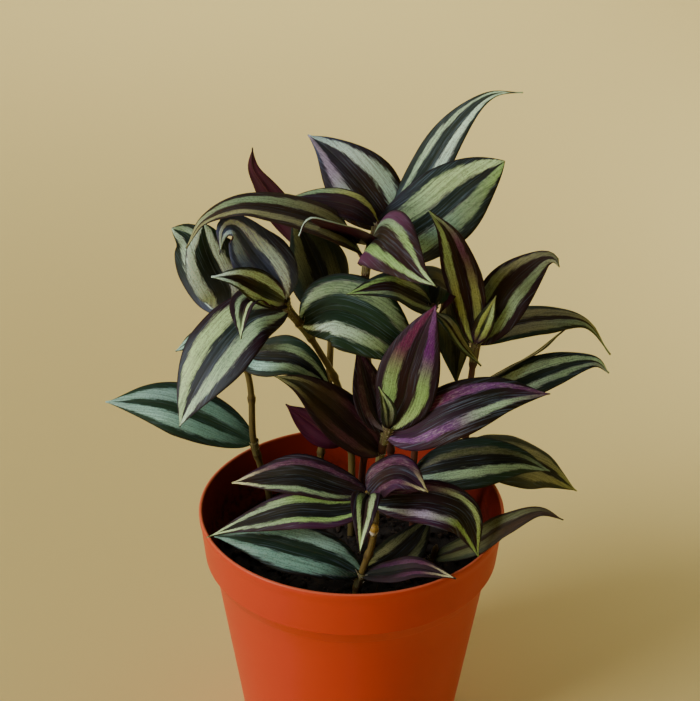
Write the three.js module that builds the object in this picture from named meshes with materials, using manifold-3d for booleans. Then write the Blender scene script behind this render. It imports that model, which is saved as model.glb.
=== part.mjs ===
// A potted tradescantia (Tradescantia zebrina): a tapered plastic nursery pot filled
// with soil, and leafy shoots whose keeled, pointed leaves arch out on every side.
// Millimetres, +Z up, the origin at the centre of the pot's flat underside.
import * as THREE from "three";
import { mergeVertices } from "three/addons/utils/BufferGeometryUtils.js";
import Module from "manifold-3d";

const wasm = await Module();
wasm.setup();

// Pot
const potHeight = 105;
const rimRadius = 60;
const bandHeight = 19.5;
const bandFootRadius = 57.9;
const stepHeight = 6.2;
const neckRadius = 54.1;
const baseRadius = 42.6;
const potWall = 1.4;
const potFloor = 2;
const lipThickness = 1.9;
const lipRound = 0.6;
const edgeRound = 0.5;
const baseChamfer = 1;
const potSides = 54;
const drainCount = 6;
const drainRadius = 4;
const drainRingRadius = 28;
const holeSides = 10;
const cutMargin = 1;

// Soil
const soilHeight = 83;
const soilGap = 0.3;
const cornerGap = 0.2;
const neckGap = 1.5;
const soilRings = [44, 33, 22, 11, 0];
const soilSides = 30;
const soilLump = 1.1;
const fineLumpShare = 0.45;
const broadWave = [0.13, 0.11];
const broadPhase = [0.7, -0.4];
const fineWave = [0.31, -0.22];

// Stems and the holes that they stand in
const stemRadius = 1.6;
const stemSides = 6;
const stemStep = 8;
const stemDepth = 24;
const stemClearance = 0.6;

// Leaves
const leafThickness = 0.7;
const leafSpacing = 7;
const leafColumns = 4;
const leastRows = 5;
const leafCup = THREE.MathUtils.degToRad(26);
const footHalfWidth = 0.8;
const tipHalfWidth = 0.4;
const defaultWidest = 0.4;
const defaultPoint = 1.2;
const baseRoundness = 0.6;
const tipCurve = 1.7;
const endFold = 1.15;
const middleUnfold = 0.3;

// Each shoot has the route of its stem from the soil up, and its leaves. A leaf grows
// from its stem at a height, runs through its middle points to its tip, and turns its
// upper side to its face direction. Width is across the blade laid flat, fold is each
// half's rise from the midrib in degrees, widest is where along the leaf it is widest,
// and a larger point draws the tip out longer.
const shoots = [
  {
    name: "shoot_back_left",
    stem: [[-34, 29], [-35, 28, 95], [-38, 26, 108], [-40, 22, 122], [-40, 19, 141], [-41, 17, 153],
      [-44, 15, 164], [-47, 13, 176], [-48, 12, 183]],
    leaves: [
      { at: 119, middle: [[-59, 24, 129], [-77, 25, 135]], tip: [-99, 26, 135],
        face: [1, -6, 7], width: 23, fold: 12, widest: 0.5 },
      { at: 164, middle: [[-36, 7, 166], [-23, -4, 171], [-14, -9, 168]], tip: [-8, -12, 162],
        face: [1, -6, 7], width: 19, fold: 22, widest: 0.45 },
      { at: 165, middle: [[-54, 24, 164], [-63, 30, 161]], tip: [-71, 34, 154],
        face: [0, -4, 9], width: 17, fold: 22 },
      { at: 181, middle: [[-53, 14, 190], [-58, 16, 202], [-62, 17, 210]], tip: [-68, 17, 214],
        face: [-2, -8, 4], width: 21, fold: 12, widest: 0.5 },
      { at: 182, middle: [[-47, 8, 193], [-52, 6, 203], [-55, 5, 212]], tip: [-55, 5, 221],
        face: [3, -8, 4], width: 20, fold: 15, widest: 0.5 },
    ],
  },
  {
    name: "shoot_left",
    stem: [[0, 10], [0, 10, 105], [-1, 8, 132], [-6, 4, 156], [-13, -1, 173], [-19, -7, 186],
      [-24, -12, 195], [-25, -14, 200]],
    leaves: [
      { at: 132, middle: [[-7, 6, 131], [-16, 8, 137]], tip: [-26, 8, 145],
        face: [-1, 7, 4], width: 18, fold: 10 },
      { at: 187, middle: [[-9, -10, 193], [1, -12, 192], [11, -13, 185]], tip: [24, -9, 172],
        face: [0, -7, 6], width: 24, fold: 16 },
      { at: 195, middle: [[-37, -20, 195], [-48, -30, 186], [-56, -37, 174]], tip: [-61, -40, 162],
        face: [-3, -7, 6], width: 26, fold: 18, widest: 0.5 },
      { at: 197, middle: [[-33, -20, 201], [-38, -27, 203]], tip: [-39, -36, 195],
        face: [-4, -6, 7], width: 15, fold: 42 },
      { at: 199, middle: [[-32, -22, 207], [-40, -28, 214]], tip: [-49, -31, 216],
        face: [2, -7, 6], width: 14, fold: 40, widest: 0.45 },
      { at: 199, middle: [[-29, -13, 208], [-36, -12, 217], [-43, -12, 225]], tip: [-47, -18, 220],
        face: [4, -6, 6], width: 24, fold: 20, widest: 0.42 },
    ],
  },
  {
    name: "shoot_centre",
    stem: [[8, -8], [8, -10, 105], [10, -18, 135], [12, -22, 149], [13, -23, 154]],
    leaves: [
      { at: 140, middle: [[1, -24, 152], [-11, -28, 166], [-19, -30, 174]], tip: [-28, -31, 178],
        face: [1, -7, 7], width: 19, fold: 22, widest: 0.45 },
      { at: 149, middle: [[22, -24, 152], [35, -24, 160], [53, -20, 165]], tip: [72, -16, 164],
        face: [0, -7, 7], width: 21, fold: 18, widest: 0.45 },
      { at: 151, middle: [[8, -20, 157], [5, -17, 166]], tip: [2, -12, 178],
        face: [6, -5, 3], width: 15, fold: 20 },
      { at: 152, middle: [[18, -22, 164], [20, -20, 174], [24, -17, 187]], tip: [29, -15, 199],
        face: [0, -9, 3], width: 23, fold: 16, widest: 0.42, point: 1.05 },
      { at: 153, middle: [[12, -26, 163]], tip: [9, -27, 172],
        face: [3, -8, 3], width: 7, fold: 40 },
    ],
  },
  {
    name: "shoot_tall",
    stem: [[3, 16], [4, 14, 110], [7, 8, 147], [4, 5, 179], [4, 0, 205], [7, 1, 219], [8, 1, 224]],
    leaves: [
      { at: 207, middle: [[-4, -8, 222], [-19, -12, 231], [-38, -14, 235], [-52, -15, 230]],
        tip: [-59, -16, 220], face: [0, -3, 9], width: 19, fold: 24, widest: 0.38, point: 1.3 },
      { at: 208, middle: [[16, 4, 216], [28, 12, 222], [42, 17, 233]], tip: [54, 19, 241],
        face: [1, -8, 5], width: 29, fold: 8, widest: 0.55, point: 0.85 },
      { at: 212, middle: [[8, -14, 224], [14, -28, 225], [21, -40, 222]], tip: [27, -46, 220],
        face: [-6, -4, 8], width: 24, fold: 18, widest: 0.38 },
      { at: 215, middle: [[-2, -14, 226], [-11, -24, 234], [-16, -28, 236]], tip: [-18, -30, 232],
        face: [1, 5, 8], width: 18, fold: 10 },
      { at: 223, middle: [[0, 1, 229], [-11, 5, 230]], tip: [-27, 8, 229],
        face: [0, -5, 8], width: 13, fold: 20, widest: 0.45 },
    ],
  },
  {
    name: "shoot_front",
    stem: [[2, -31], [3, -34, 96], [5, -34, 113], [7, -34, 127], [5, -33, 132]],
    leaves: [
      { at: 95, middle: [[14, -40, 101], [25, -46, 107]], tip: [38, -52, 107],
        face: [0, -6, 7], width: 10, fold: 22, widest: 0.5 },
      { at: 96, middle: [[-8, -34, 103], [-21, -32, 106], [-35, -28, 107]], tip: [-49, -24, 106],
        face: [1, -6, 7], width: 18, fold: 14, widest: 0.5 },
      { at: 96, middle: [[13, -28, 96], [22, -20, 99]], tip: [31, -10, 106],
        face: [-1, -6, 7], width: 16, fold: 18, widest: 0.5 },
      { at: 127, middle: [[18, -36, 129], [30, -38, 130], [41, -38, 124]], tip: [47, -38, 107],
        face: [1, -6, 7], width: 18, fold: 20, widest: 0.5 },
      { at: 127, middle: [[-6, -36, 125], [-21, -36, 125], [-39, -34, 118]], tip: [-54, -32, 110],
        face: [0, -6, 7], width: 16, fold: 20, widest: 0.45 },
      { at: 130, middle: [[5, -44, 134], [4, -53, 131]], tip: [3, -58, 122],
        face: [0, -7, 7], width: 15, fold: 38, widest: 0.35 },
      { at: 131, middle: [[11, -36, 139], [18, -41, 144]], tip: [27, -46, 140],
        face: [0, -5, 8], width: 17, fold: 18, widest: 0.48 },
      { at: 131, middle: [[-6, -34, 135], [-19, -34, 139], [-32, -33, 137]], tip: [-44, -32, 134],
        face: [0, -6, 7], width: 16, fold: 24, widest: 0.48 },
    ],
  },
  {
    name: "shoot_right",
    stem: [[40, 18], [41, 17, 102], [45, 12, 132], [45, 9, 154], [46, 8, 170], [46, 7, 174]],
    leaves: [
      { at: 118, middle: [[60, 24, 112], [78, 34, 102]], tip: [95, 38, 88],
        face: [1, -5, 8], width: 22, fold: 10, widest: 0.45 },
      { at: 147, middle: [[59, 14, 150], [77, 18, 156], [93, 20, 159]], tip: [100, 20, 154],
        face: [-1, -6, 7], width: 16, fold: 18, widest: 0.45 },
      { at: 151, middle: [[57, 18, 154], [72, 28, 158]], tip: [85, 36, 166],
        face: [-6, 3, 7], width: 14, fold: 15 },
      { at: 171, middle: [[43, 7, 189], [39, 3, 205], [33, -4, 222]], tip: [25, -12, 234],
        face: [-3, -9, 3], width: 15, fold: 28, widest: 0.45 },
      { at: 172, middle: [[58, 18, 174], [74, 28, 173], [91, 34, 169]], tip: [103, 36, 154],
        face: [0, -4, 9], width: 16, fold: 15, widest: 0.45 },
      { at: 172, middle: [[52, 8, 184], [58, 9, 195], [68, 10, 205], [73, 9, 207]], tip: [75, 6, 205],
        face: [-3, -8, 5], width: 20, fold: 14, widest: 0.45 },
      { at: 173, middle: [[49, 4, 184]], tip: [52, 2, 195],
        face: [-2, -9, 3], width: 8, fold: 35 },
    ],
  },
  {
    name: "shoot_back_tall",
    stem: [[16, 26], [15, 24, 161], [13, 22, 196], [14, 20, 215], [15, 20, 219]],
    leaves: [
      { at: 214, middle: [[6, 24, 224], [-3, 27, 234], [-11, 30, 241]], tip: [-18, 31, 246],
        face: [2, -8, 5], width: 28, fold: 14, widest: 0.38 },
      { at: 217, middle: [[24, 29, 234], [31, 32, 247], [39, 33, 257], [47, 32, 262]],
        tip: [60, 28, 264], face: [-4, -8, 3], width: 15, fold: 14, point: 1.9 },
    ],
  },
  {
    name: "shoot_right_middle",
    stem: [[25, 8], [24, 6, 117], [26, 4, 150], [28, 2, 183], [29, 1, 192]],
    leaves: [
      { at: 114, middle: [[34, 4, 119], [50, 3, 123], [65, 2, 124]], tip: [77, 0, 121],
        face: [0, -7, 7], width: 21, fold: 12, widest: 0.45 },
      { at: 188, middle: [[34, -4, 186], [40, -7, 178]], tip: [47, -8, 171],
        face: [5, -3, 7], width: 9, fold: 30 },
      { at: 190, middle: [[20, -6, 199], [11, -12, 205]], tip: [-3, -18, 204],
        face: [1, -3, 9], width: 15, fold: 26, widest: 0.45 },
      { at: 191, middle: [[30, 9, 196], [35, 14, 187], [39, 15, 170]], tip: [40, 14, 151],
        face: [2, -4, 8], width: 24, fold: 10 },
    ],
  },
  {
    name: "shoot_back",
    stem: [[-14, 32], [-13, 31, 108], [-10, 26, 137], [-9, 22, 179], [-12, 20, 196], [-14, 19, 202]],
    leaves: [
      { at: 179, middle: [[-12, 20, 190], [-17, 16, 204]], tip: [-24, 12, 223],
        face: [2, -8, 4], width: 21, fold: 10, widest: 0.45 },
      { at: 201, middle: [[-26, 18, 219], [-33, 14, 232], [-37, 12, 240]], tip: [-37, 10, 248],
        face: [1, 8, 3], width: 13, fold: 15 },
    ],
  },
  {
    name: "shoot_front_right",
    stem: [[30, -16], [32, -17, 92], [33, -16, 97]],
    leaves: [
      { at: 91, middle: [[46, -27, 105], [57, -32, 117], [69, -32, 123]], tip: [78, -34, 121],
        face: [-3, -4, 8], width: 12, fold: 22, widest: 0.45 },
    ],
  },
];

const materials = {
  pot: new THREE.MeshStandardMaterial({ color: 0xb9441f, roughness: 0.55, metalness: 0 }),
  soil: new THREE.MeshStandardMaterial({ color: 0x1c1511, roughness: 1, metalness: 0 }),
  leaf: new THREE.MeshStandardMaterial({ color: 0x56664f, roughness: 0.45, metalness: 0 }),
};

// A closed geometry as a solid that can be joined and cut.
function solidOf(geometry) {
  const bare = geometry.clone();
  bare.deleteAttribute("normal");
  bare.deleteAttribute("uv");
  const merged = mergeVertices(bare, 1e-3);
  return new wasm.Manifold(new wasm.Mesh({
    numProp: 3,
    vertProperties: new Float32Array(merged.attributes.position.array),
    triVerts: new Uint32Array(merged.index.array),
  }));
}

function geometryOf(solid) {
  const mesh = solid.getMesh();
  const geometry = new THREE.BufferGeometry();
  geometry.setAttribute("position", new THREE.BufferAttribute(mesh.vertProperties, 3));
  geometry.setIndex(new THREE.BufferAttribute(mesh.triVerts, 1));
  return geometry;
}

function namedMesh(name, solid, material) {
  const geometry = geometryOf(solid).toNonIndexed();
  geometry.computeVertexNormals();
  const mesh = new THREE.Mesh(geometry, material);
  mesh.name = name;
  return mesh;
}

// A turned body from [radius, height] points, standing on +Z.
function turned(profile, sides) {
  const points = profile.map(([radius, height]) => new THREE.Vector2(radius, height));
  return new THREE.LatheGeometry(points, sides).rotateX(Math.PI / 2);
}

function uprightCylinder(radius, bottom, top, x, y) {
  const cylinder = new THREE.CylinderGeometry(radius, radius, top - bottom, holeSides);
  return cylinder.rotateX(Math.PI / 2).translate(x, y, (bottom + top) / 2);
}

// The pot's outer radius at a height below its band.
function bodyRadius(height) {
  const neckHeight = potHeight - bandHeight - stepHeight;
  return baseRadius + (neckRadius - baseRadius) * height / neckHeight;
}

function potSolid() {
  const bandFoot = potHeight - bandHeight;
  const neckHeight = bandFoot - stepHeight;
  const profile = [
    [0, 0],
    [baseRadius - baseChamfer, 0],
    [baseRadius, baseChamfer],
    [neckRadius, neckHeight],
    [bandFootRadius - edgeRound, bandFoot - edgeRound],
    [bandFootRadius, bandFoot],
    [rimRadius, potHeight - lipRound],
    [rimRadius - lipRound, potHeight],
    [rimRadius - lipThickness + lipRound, potHeight],
    [rimRadius - lipThickness, potHeight - lipRound],
    [bandFootRadius - potWall, bandFoot - edgeRound],
    [neckRadius - potWall, neckHeight - edgeRound],
    [bodyRadius(potFloor) - potWall, potFloor],
    [0, potFloor],
  ];
  let pot = solidOf(turned(profile, potSides));
  for (let i = 0; i < drainCount; i++) {
    const angle = (2 * Math.PI * i) / drainCount;
    const x = drainRingRadius * Math.cos(angle);
    const y = drainRingRadius * Math.sin(angle);
    const hole = uprightCylinder(drainRadius, -cutMargin, potFloor + cutMargin, x, y);
    pot = pot.subtract(solidOf(hole));
  }
  return pot;
}

// The height of the soil's gently lumpy surface.
function soilSurface(x, y) {
  const alongX = Math.sin(broadWave[0] * x + broadPhase[0]);
  const alongY = Math.cos(broadWave[1] * y + broadPhase[1]);
  const fine = Math.sin(fineWave[0] * x + fineWave[1] * y);
  return soilHeight + soilLump * (alongX * alongY + fineLumpShare * fine);
}

function soilSolid() {
  const neckHeight = potHeight - bandHeight - stepHeight;
  const bottom = potFloor + soilGap;
  const inset = potWall + soilGap;
  const profile = [
    [0, bottom],
    [bodyRadius(bottom) - inset - cornerGap, bottom],
    [neckRadius - inset, neckHeight - neckGap],
    [neckRadius - inset, soilHeight],
    ...soilRings.map((radius) => [radius, soilHeight]),
  ];
  const geometry = turned(profile, soilSides);
  const position = geometry.attributes.position;
  for (let i = 0; i < position.count; i++) {
    if (position.getZ(i) > soilHeight - 0.01) {
      position.setZ(i, soilSurface(position.getX(i), position.getY(i)));
    }
  }
  let soil = solidOf(geometry);
  for (const { stem } of shoots) {
    const [x, y] = stem[0];
    const floor = soilHeight - stemDepth - soilGap;
    const top = soilHeight + 2 * soilLump + cutMargin;
    const hole = uprightCylinder(stemRadius + stemClearance, floor, top, x, y);
    soil = soil.subtract(solidOf(hole));
  }
  return soil;
}

function curveThrough(places) {
  return new THREE.CatmullRomCurve3(places, false, "catmullrom", 0.5);
}

// The width of a leaf along its length, as a share of its greatest width: a rounded
// base up to the widest place, then a curve that draws out to the tip.
function leafOutline(t, widest, point) {
  if (t < widest) {
    return Math.pow(1 - Math.pow(1 - t / widest, 2), baseRoundness);
  }
  return Math.pow(1 - Math.pow((t - widest) / (1 - widest), tipCurve), point);
}

// A closed blade: rows of points across the leaf, one surface half the thickness above
// them and one as far below, joined round the margin.
function leafSolid(foot, leaf) {
  const widest = leaf.widest ?? defaultWidest;
  const point = leaf.point ?? defaultPoint;
  const face = new THREE.Vector3(...leaf.face).normalize();
  const beyond = [...leaf.middle, leaf.tip].map((point) => new THREE.Vector3(...point));
  const midrib = curveThrough([foot, ...beyond]);
  const rows = Math.max(leastRows, Math.round(midrib.getLength() / leafSpacing));
  const columns = leafColumns;
  const upper = [];
  const lower = [];
  for (let i = 0; i <= rows; i++) {
    const t = i / rows;
    const centre = midrib.getPointAt(t);
    const along = midrib.getTangentAt(t);
    const side = new THREE.Vector3().crossVectors(along, face).normalize();
    const out = new THREE.Vector3().crossVectors(side, along);
    const least = i === 0 ? footHalfWidth : tipHalfWidth;
    const half = Math.max(least, (leaf.width / 2) * leafOutline(t, widest, point));
    const foldShare = endFold - middleUnfold * Math.sin(Math.PI * t);
    const fold = THREE.MathUtils.degToRad(leaf.fold) * foldShare;
    for (let j = 0; j <= columns; j++) {
      const across = (2 * j) / columns - 1;
      const sign = Math.sign(across);
      const lean = fold - leafCup * Math.abs(across);
      const reach = sign * half * (Math.sin(fold) - Math.sin(lean)) / leafCup;
      const rise = half * (Math.cos(lean) - Math.cos(fold)) / leafCup;
      const place = centre.clone().addScaledVector(side, reach).addScaledVector(out, rise);
      const normal = out.clone().multiplyScalar(Math.cos(sign === 0 ? 0 : lean));
      normal.addScaledVector(side, -sign * Math.sin(lean));
      upper.push(place.clone().addScaledVector(normal, leafThickness / 2));
      lower.push(place.clone().addScaledVector(normal, -leafThickness / 2));
    }
  }
  const index = [];
  const stride = columns + 1;
  const below = upper.length;
  const quad = (a, b, c, d) => index.push(a, b, c, a, c, d);
  for (let i = 0; i < rows; i++) {
    for (let j = 0; j < columns; j++) {
      const a = i * stride + j;
      quad(a, a + 1, a + stride + 1, a + stride);
      quad(below + a, below + a + stride, below + a + stride + 1, below + a + 1);
    }
    const left = i * stride;
    const right = left + columns;
    quad(left, left + stride, below + left + stride, below + left);
    quad(right + stride, right, below + right, below + right + stride);
  }
  for (let j = 0; j < columns; j++) {
    const end = rows * stride + j;
    quad(j + 1, j, below + j, below + j + 1);
    quad(end, end + 1, below + end + 1, below + end);
  }
  const position = [...upper, ...lower].flatMap((p) => p.toArray());
  const geometry = new THREE.BufferGeometry();
  geometry.setAttribute("position", new THREE.Float32BufferAttribute(position, 3));
  geometry.setIndex(index);
  return solidOf(geometry);
}

// The place on a rising stem at a height.
function onStem(curve, height) {
  let low = 0;
  let high = 1;
  while (high - low > 1e-4) {
    const u = (low + high) / 2;
    if (curve.getPointAt(u).z < height) {
      low = u;
    } else {
      high = u;
    }
  }
  return curve.getPointAt(low);
}

function shootSolid({ stem, leaves }) {
  const [x, y] = stem[0];
  const rooted = [[x, y, soilHeight - stemDepth], [x, y, soilHeight]];
  const places = [...rooted, ...stem.slice(1)].map((point) => new THREE.Vector3(...point));
  const curve = curveThrough(places);
  const section = new THREE.Shape();
  section.absarc(0, 0, stemRadius, 0, 2 * Math.PI);
  const tube = new THREE.ExtrudeGeometry(section, {
    steps: Math.max(2, Math.round(curve.getLength() / stemStep)),
    curveSegments: stemSides / 2,
    extrudePath: curve,
  });
  const pieces = [solidOf(tube)];
  for (const leaf of leaves) {
    pieces.push(leafSolid(onStem(curve, leaf.at), leaf));
  }
  return pieces.reduce((whole, piece) => whole.add(piece));
}

const plant = new THREE.Group();
plant.add(namedMesh("pot", potSolid(), materials.pot));
plant.add(namedMesh("soil", soilSolid(), materials.soil));
for (const shoot of shoots) {
  plant.add(namedMesh(shoot.name, shootSolid(shoot), materials.leaf));
}

export default plant;
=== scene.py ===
import random
from bisect import bisect_right
from math import ceil, cos, pi, radians, sin, sqrt

import bmesh
import bpy
from mathutils import Matrix, Vector, noise


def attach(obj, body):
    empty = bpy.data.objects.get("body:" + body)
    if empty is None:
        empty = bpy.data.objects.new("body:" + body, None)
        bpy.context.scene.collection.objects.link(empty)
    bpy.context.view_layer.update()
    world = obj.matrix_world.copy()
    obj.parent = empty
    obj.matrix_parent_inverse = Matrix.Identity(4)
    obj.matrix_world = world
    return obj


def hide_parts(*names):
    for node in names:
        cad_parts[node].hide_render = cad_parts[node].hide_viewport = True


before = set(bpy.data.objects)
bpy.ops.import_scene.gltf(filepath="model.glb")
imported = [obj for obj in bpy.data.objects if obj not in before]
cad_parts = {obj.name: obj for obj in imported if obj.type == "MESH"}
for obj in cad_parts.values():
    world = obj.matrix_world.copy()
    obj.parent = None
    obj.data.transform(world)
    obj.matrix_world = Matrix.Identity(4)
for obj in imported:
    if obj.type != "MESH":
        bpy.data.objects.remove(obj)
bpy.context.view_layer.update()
scene = bpy.context.scene
mm = 0.001  # everything below is in millimetres until it is built
chance = random.Random(7)
noise.seed_set(7)


# Camera, floor and light
camera = {
    "place": (-1.4, -485.2, 420.1),
    "downward": 27.02,  # degrees below the horizon
    "roll": 0.7,
    "lens": 74.98,
}

stage = {
    "floorRadius": 2600,
    "bend": 500,  # the radius where the floor turns up into the wall
    "bendSteps": 12,
    "wallHeight": 1500,
    "sides": 96,
    "colour": (228, 211, 140), "roughness": 0.9,
}

lights = {
    # name: place, what it points at, width, how far it spreads, power in watts, colour
    "window": ((-2100, -1150, 1200), (0, 0, 130), 1300, 180, 78, (1.0, 0.94, 0.84)),
    "behind": ((0, 1500, 1200), (0, 1500, 0), 1600, 110, 11, (1.0, 0.95, 0.84)),
    "beside": ((840, 300, 780), (770, 390, 0), 700, 84, 3.4, (1.0, 0.95, 0.84)),
}
sky = {"colour": (1.0, 0.93, 0.82), "strength": 0.02}


def screen(colour):  # a colour as a screen shows it, 0 to 255, to scene light
    linear = [((part / 255 + 0.055) / 1.055) ** 2.4 for part in colour]
    return (*linear, 1.0)


def smooth(low, high, value):  # 0 at low, 1 at high, smooth between
    share = min(1, max(0, (value - low) / (high - low)))
    return share * share * (3 - 2 * share)


# Shader maths: a Value takes part in plain sums, and a Finish makes every other node
class Value:
    def __init__(self, finish, socket):
        self.finish = finish
        self.socket = socket

    def other(self, name):  # another output of the same node
        return Value(self.finish, self.socket.node.outputs[name])

    def maths(self, operation, *given):
        settings = {"operation": operation}
        return self.finish.node("ShaderNodeMath", settings, dict(enumerate(given)))

    def __add__(self, other):
        return self.maths("ADD", self, other)

    def __sub__(self, other):
        return self.maths("SUBTRACT", self, other)

    def __rsub__(self, other):
        return self.maths("SUBTRACT", other, self)

    def __mul__(self, other):
        return self.maths("MULTIPLY", self, other)

    def __abs__(self):
        return self.maths("ABSOLUTE", self)

    def rise(self, low, high, most=1):  # 0 up to low, most from high, smooth between
        settings = {"interpolation_type": "SMOOTHSTEP"}
        sockets = {0: self, 1: low, 2: high, 4: most}
        return self.finish.node("ShaderNodeMapRange", settings, sockets)


class Finish:
    def __init__(self, name):
        self.material = bpy.data.materials.new(name)
        self.material.use_nodes = True
        self.tree = self.material.node_tree
        self.tree.nodes.clear()

    def node(self, kind, settings, sockets, output=0):
        made = self.tree.nodes.new(kind)
        for key, setting in settings.items():
            setattr(made, key, setting)
        for key, given in sockets.items():
            if isinstance(given, Value):
                self.tree.links.new(given.socket, made.inputs[key])
            else:
                made.inputs[key].default_value = given
        return Value(self, made.outputs[output] if made.outputs else None)

    def objectPlace(self):
        return self.node("ShaderNodeTexCoord", {}, {}, "Object")

    def attribute(self, name, output):
        return self.node("ShaderNodeAttribute", {"attribute_name": name}, {}, output)

    def split(self, vector, output="X"):
        return self.node("ShaderNodeSeparateXYZ", {}, {0: vector}, output)

    def noise(self, vector, scale, detail, roughness=0.5):
        return self.node("ShaderNodeTexNoise", {}, {
            "Vector": vector, "Scale": scale, "Detail": detail, "Roughness": roughness})

    def stretched(self, vector, stretch, detail, roughness=0.5, scale=1):
        return self.noise(self.node("ShaderNodeVectorMath", {"operation": "MULTIPLY"},
                                    {0: vector, 1: stretch}), scale, detail, roughness)

    def mix(self, factor, one, other):  # a plain colour is given as a screen shows it
        one, other = (screen(part) if isinstance(part, tuple) else part for part in (one, other))
        sockets = {0: factor, 6: one, 7: other}
        return self.node("ShaderNodeMix", {"data_type": "RGBA"}, sockets, 2)

    def bump(self, height, distance, strength):
        return self.node("ShaderNodeBump", {}, {
            "Height": height, "Distance": distance, "Strength": strength})

    def done(self, **sockets):  # an underscore stands for a space in a socket's name
        named = {key.replace("_", " "): given for key, given in sockets.items()}
        surface = self.node("ShaderNodeBsdfPrincipled", {}, named)
        self.node("ShaderNodeOutputMaterial", {}, {"Surface": surface})
        return self.material


# Curves and meshes
class Route:  # a smooth curve through points, measured along its length
    def __init__(self, points):
        steps = 40
        points = [Vector(point) for point in points]
        ends = [points[0] * 2 - points[1], *points, points[-1] * 2 - points[-2]]
        self.places = []
        for a, b, c, d in zip(ends, ends[1:], ends[2:], ends[3:]):
            for step in range(steps):
                t = step / steps
                bend = (2 * a - 5 * b + 4 * c - d) * t * t + (3 * b - a - 3 * c + d) * t ** 3
                self.places.append((2 * b + (c - a) * t + bend) / 2)
        self.places.append(points[-1])
        self.reached = [0]
        for one, other in zip(self.places, self.places[1:]):
            self.reached.append(self.reached[-1] + (other - one).length)
        self.length = self.reached[-1]

    def at(self, share):
        wanted = min(1, max(0, share)) * self.length
        high = min(bisect_right(self.reached, wanted), len(self.reached) - 1)
        low = high - 1
        gap = self.reached[high] - self.reached[low]
        return self.places[low].lerp(self.places[high], (wanted - self.reached[low]) / gap)

    def along(self, share):
        small = 0.002
        return (self.at(share + small) - self.at(share - small)).normalized()

    def shareAtHeight(self, height):
        low = 0
        high = 1
        while high - low > 1e-4:
            middle = (low + high) / 2
            if self.at(middle).z < height:
                low = middle
            else:
                high = middle
        return low


def smoothed(bm):
    for face in bm.faces:
        face.smooth = True


def meshPiece(name, bm, materials):
    mesh = bpy.data.meshes.new(name)
    bm.to_mesh(mesh)
    bm.free()
    for material in materials:
        mesh.materials.append(material)
    piece = bpy.data.objects.new(name, mesh)
    scene.collection.objects.link(piece)
    return piece


def partPiece(name, bm, materials, nodes=()):
    piece = meshPiece(name, bm, materials)
    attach(piece, "root")
    if nodes:
        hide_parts(*nodes)
    return piece


def spun(bm, profile, steps):  # a wire of (radius, height) points turned about Z
    points = [bm.verts.new((radius * mm, 0, height * mm)) for radius, height in profile]
    edges = [bm.edges.new(pair) for pair in zip(points, points[1:])]
    bmesh.ops.spin(bm, geom=points + edges, cent=(0, 0, 0), axis=(0, 0, 1), angle=2 * pi,
                   steps=steps, use_merge=True, dvec=(0, 0, 0))
    bmesh.ops.remove_doubles(bm, verts=bm.verts, dist=0.01 * mm)


def sideways(along):  # square to a direction that is not quite along Y
    return Vector((0, 1, 0)).cross(along).normalized()


# A grid rolled up into a tube through stations: (place, direction, radius, way along the route)
def wrapped(bm, stations, sides, span):
    rows = len(stations) - 1
    made = bmesh.ops.create_grid(bm, x_segments=sides, y_segments=rows, size=0.5)["verts"]
    for vert in made:
        angle = 2 * pi * round((vert.co.x + 0.5) * sides) / sides
        place, along, radius, reached = stations[round((vert.co.y + 0.5) * rows)]
        one = sideways(along)
        out = one * cos(angle) + along.cross(one) * sin(angle)
        vert.co = (place + out * radius) * mm
        vert[span] = (radius * cos(angle), radius * sin(angle), reached)
    bmesh.ops.remove_doubles(bm, verts=made, dist=0.005 * mm)


def stationAt(route, share, radius):
    return route.at(share), route.along(share), radius, share * route.length


# Camera, lights and floor
def makeCamera():
    made = bpy.data.objects.new("camera", bpy.data.cameras.new("camera"))
    scene.collection.objects.link(made)
    made.data.lens = camera["lens"]
    turn = Matrix.Rotation(radians(90 - camera["downward"]), 4, "X")
    roll = Matrix.Rotation(radians(camera["roll"]), 4, "Z")
    made.matrix_world = Matrix.Translation(Vector(camera["place"]) * mm) @ turn @ roll
    scene.camera = made


def makeLights():
    for name, (place, aim, width, spread, power, colour) in lights.items():
        lamp = bpy.data.lights.new(name, "AREA")
        lamp.size = width * mm
        lamp.spread = radians(spread)
        lamp.energy = power
        lamp.color = colour
        made = bpy.data.objects.new(name, lamp)
        scene.collection.objects.link(made)
        made.location = Vector(place) * mm
        made.rotation_euler = (Vector(aim) - Vector(place)).to_track_quat("-Z", "Y").to_euler()
    world = bpy.data.worlds.new("room")
    world.use_nodes = True
    background = world.node_tree.nodes["Background"]
    background.inputs["Color"].default_value = (*sky["colour"], 1)
    background.inputs["Strength"].default_value = sky["strength"]
    scene.world = world


def makeStage():
    reach = stage["floorRadius"]
    bend = stage["bend"]
    profile = [(0, 0), (reach - bend, 0)]
    for step in range(1, stage["bendSteps"] + 1):
        angle = pi / 2 * step / stage["bendSteps"]
        profile.append((reach - bend + bend * sin(angle), bend - bend * cos(angle)))
    profile.append((reach, stage["wallHeight"]))
    bm = bmesh.new()
    spun(bm, profile, stage["sides"])
    bmesh.ops.recalc_face_normals(bm, faces=bm.faces)
    smoothed(bm)
    paper = Finish("paper").done(Base_Color=screen(stage["colour"]), Roughness=stage["roughness"])
    meshPiece("floor", bm, [paper])


makeCamera()
makeLights()
makeStage()
print("stage: camera, lights and floor are in place")


# Pot
pot = {
    "height": 105, "rim": 60, "band": 19.5, "bandFoot": 57.9, "step": 6.2, "neck": 54.1,
    "base": 42.6, "wall": 1.4, "wallParts": 6, "floor": 2, "lip": 1.4, "lipParts": 6,
    "holes": 6, "hole": 4, "holeRing": 28, "holeSides": 32,
    "plate": 36,  # the floor's disc inside this radius is drilled
    "sides": 144, "crisp": 32,  # an edge that bends more than this many degrees stays sharp
}

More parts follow.
